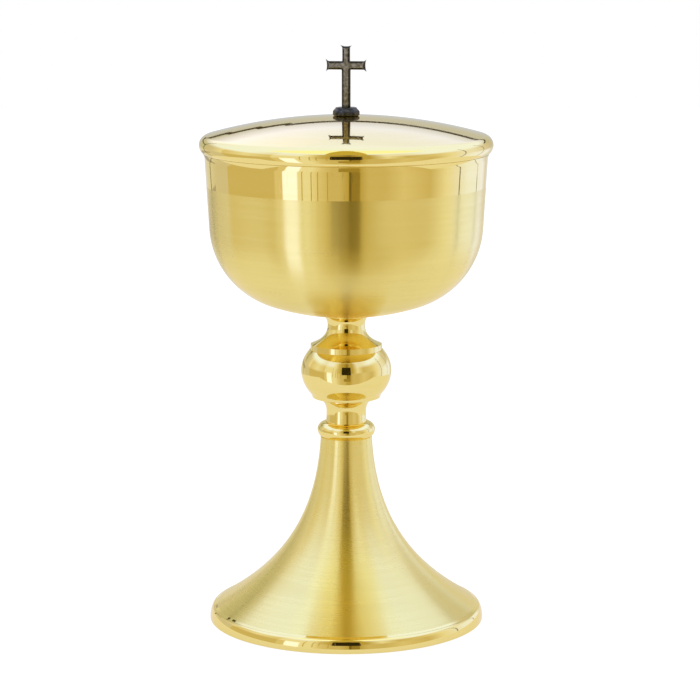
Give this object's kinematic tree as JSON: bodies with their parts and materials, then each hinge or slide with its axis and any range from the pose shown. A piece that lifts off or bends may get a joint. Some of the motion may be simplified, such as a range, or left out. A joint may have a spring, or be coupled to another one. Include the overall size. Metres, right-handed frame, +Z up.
{
  "type": "ciborium",
  "caption": "Covered gilt cup on a turned stem with a round knop and a trumpet foot, with a shallow domed lid that lifts off, topped by a small dark cross.",
  "frame": {"origin": "on the vessel's axis, in the plane that the foot stands on", "axes": "+Z up along the vessel's axis; the cross faces -Y, turned 6 degrees about Z"},
  "size_m": [0.14, 0.14, 0.2783],
  "materials": {
    "polished_gilt": "gold-plated brass, mirror polished",
    "satin_gilt": "gold-plated brass, satin brushed round the axis, polished at the cup's lip band",
    "plain_brass": "turned, unplated",
    "steel": "turned, zinc plated",
    "dark_pewter": "cast white metal, antiqued dark with lighter rubbed faces"
  },
  "bodies": {
    "base": {"foot_rim": "polished_gilt", "foot_shell": "satin_gilt", "foot_backing_plate": "plain_brass", "rod_washer": "steel", "rod_nut": "steel", "tie_rod": "steel", "stem_collar": "polished_gilt", "stem_sleeve": "polished_gilt", "knop_lower_half": "polished_gilt", "knop_upper_half": "polished_gilt", "stem_neck": "polished_gilt", "bowl_boss": "plain_brass", "bowl": "satin_gilt"},
    "lid": {"lid_shell": "polished_gilt", "lid_locating_ring": "polished_gilt", "finial_knob": "dark_pewter", "cross": "dark_pewter", "finial_stud": "steel", "lid_washer": "plain_brass", "lid_nut": "plain_brass"}
  },
  "joints": [
    {"name": "lid_lift", "type": "slide", "parent": "base", "child": "lid", "axis": [0, 0, 1], "range_m": [0, 0.08]}
  ]
}
